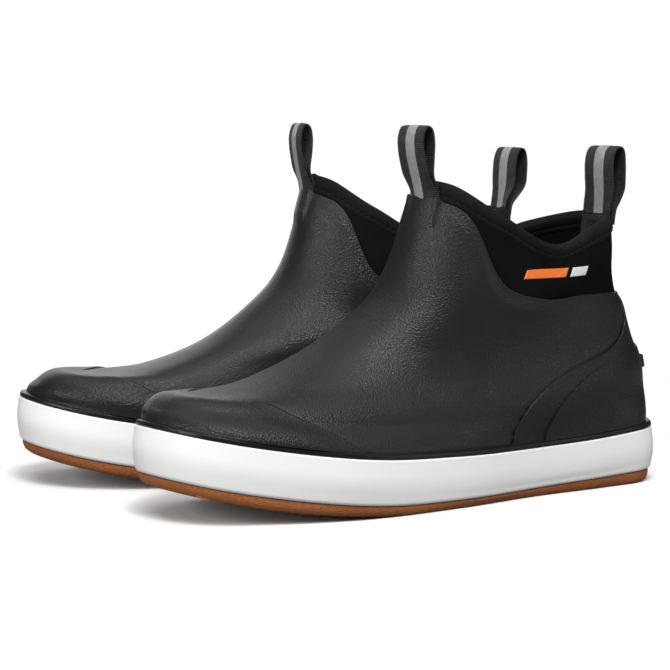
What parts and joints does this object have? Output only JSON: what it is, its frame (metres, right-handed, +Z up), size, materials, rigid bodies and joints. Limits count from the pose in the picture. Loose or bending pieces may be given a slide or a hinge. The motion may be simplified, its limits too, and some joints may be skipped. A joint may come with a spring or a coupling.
{
  "type": "deck boots",
  "caption": "Pair of ankle-height slip-on rubber deck boots with neoprene collars, pale foxing band, gum outsole and webbing pull loops.",
  "frame": {"origin": "on the floor, at the centre of the pair's bounding box", "axes": "+Z up, toes toward -Y, left boot on +X, right boot on -X"},
  "size_m": [0.239, 0.3206, 0.1922],
  "materials": {
    "gum_rubber": "satin gum rubber",
    "foam": "closed-cell foam",
    "fibreboard": "fibreboard",
    "insole_foam": "knit over foam",
    "white_rubber": "smooth matte rubber",
    "trim_rubber": "satin rubber",
    "shell_rubber": "fine-grained matte rubber",
    "cap_rubber": "fine-grained matte rubber",
    "stiffener_board": "fibreboard",
    "neoprene": "smooth jersey-faced neoprene foam",
    "knit_lining": "knit",
    "binding_fabric": "stretch knit",
    "thread": "polyester thread",
    "orange_film": "matte film",
    "grey_film": "matte film",
    "webbing": "ribbed webbing",
    "reflective_stripe": "woven reflective tape"
  },
  "bodies": {
    "left_boot": {"left_outsole": "gum_rubber", "left_midsole_filler": "foam", "left_insole_board": "fibreboard", "left_foxing_band": "white_rubber", "left_foxing_trim": "trim_rubber", "left_rubber_shell": "shell_rubber", "left_toe_cap": "cap_rubber", "left_heel_counter": "cap_rubber", "left_heel_stabiliser": "cap_rubber", "left_kick_lug": "cap_rubber", "left_toe_puff": "stiffener_board", "left_heel_stiffener": "stiffener_board", "left_neoprene_upper": "neoprene", "left_lining": "knit_lining", "left_collar_binding": "binding_fabric", "left_collar_stitching": "thread", "left_emblem_long_bar": "orange_film", "left_emblem_short_bar": "grey_film", "left_front_bar_tack": "thread", "left_rear_bar_tack": "thread", "left_rear_loop_tails": "webbing"},
    "left_insole": {"left_insole": "insole_foam"},
    "left_front_loop": {"left_front_loop": "webbing", "left_front_stripe": "reflective_stripe"},
    "left_rear_loop": {"left_rear_loop": "webbing", "left_rear_stripe": "reflective_stripe"},
    "right_boot": {"right_outsole": "gum_rubber", "right_midsole_filler": "foam", "right_insole_board": "fibreboard", "right_foxing_band": "white_rubber", "right_foxing_trim": "trim_rubber", "right_rubber_shell": "shell_rubber", "right_toe_cap": "cap_rubber", "right_heel_counter": "cap_rubber", "right_heel_stabiliser": "cap_rubber", "right_kick_lug": "cap_rubber", "right_toe_puff": "stiffener_board", "right_heel_stiffener": "stiffener_board", "right_neoprene_upper": "neoprene", "right_lining": "knit_lining", "right_collar_binding": "binding_fabric", "right_collar_stitching": "thread", "right_emblem_long_bar": "orange_film", "right_emblem_short_bar": "grey_film", "right_front_bar_tack": "thread", "right_rear_bar_tack": "thread", "right_rear_loop_tails": "webbing"},
    "right_insole": {"right_insole": "insole_foam"},
    "right_front_loop": {"right_front_loop": "webbing", "right_front_stripe": "reflective_stripe"},
    "right_rear_loop": {"right_rear_loop": "webbing", "right_rear_stripe": "reflective_stripe"}
  },
  "joints": [
    {"name": "right_boot_lift", "type": "slide", "parent": "left_boot", "child": "right_boot", "axis": [0, 0, 1], "range_m": [0, 0.25]},
    {"name": "left_insole_peel", "type": "hinge", "parent": "left_boot", "child": "left_insole", "pos_m": [0.07296, -0.12672, 0.02988], "axis": [0.9917, 0.1288, 0], "range_deg": [0, 3.4]},
    {"name": "left_front_loop_flop", "type": "hinge", "parent": "left_boot", "child": "left_front_loop", "pos_m": [0.05439, 0.01632, 0.15636], "axis": [0.9917, 0.1288, 0], "range_deg": [-4, 75], "stiffness_Nm_per_rad": 0.002},
    {"name": "left_rear_loop_flop", "type": "hinge", "parent": "left_boot", "child": "left_rear_loop", "pos_m": [0.03848, 0.13879, 0.1472], "axis": [-0.9917, -0.1288, 0], "range_deg": [-4, 75], "stiffness_Nm_per_rad": 0.002},
    {"name": "right_insole_peel", "type": "hinge", "parent": "right_boot", "child": "right_insole", "pos_m": [-0.07296, -0.14502, 0.02988], "axis": [0.9917, -0.1288, 0], "range_deg": [0, 3.4]},
    {"name": "right_front_loop_flop", "type": "hinge", "parent": "right_boot", "child": "right_front_loop", "pos_m": [-0.05439, -0.00198, 0.15636], "axis": [0.9917, -0.1288, 0], "range_deg": [-4, 75], "stiffness_Nm_per_rad": 0.002},
    {"name": "right_rear_loop_flop", "type": "hinge", "parent": "right_boot", "child": "right_rear_loop", "pos_m": [-0.03848, 0.12049, 0.1472], "axis": [-0.9917, 0.1288, 0], "range_deg": [-4, 75], "stiffness_Nm_per_rad": 0.002}
  ]
}
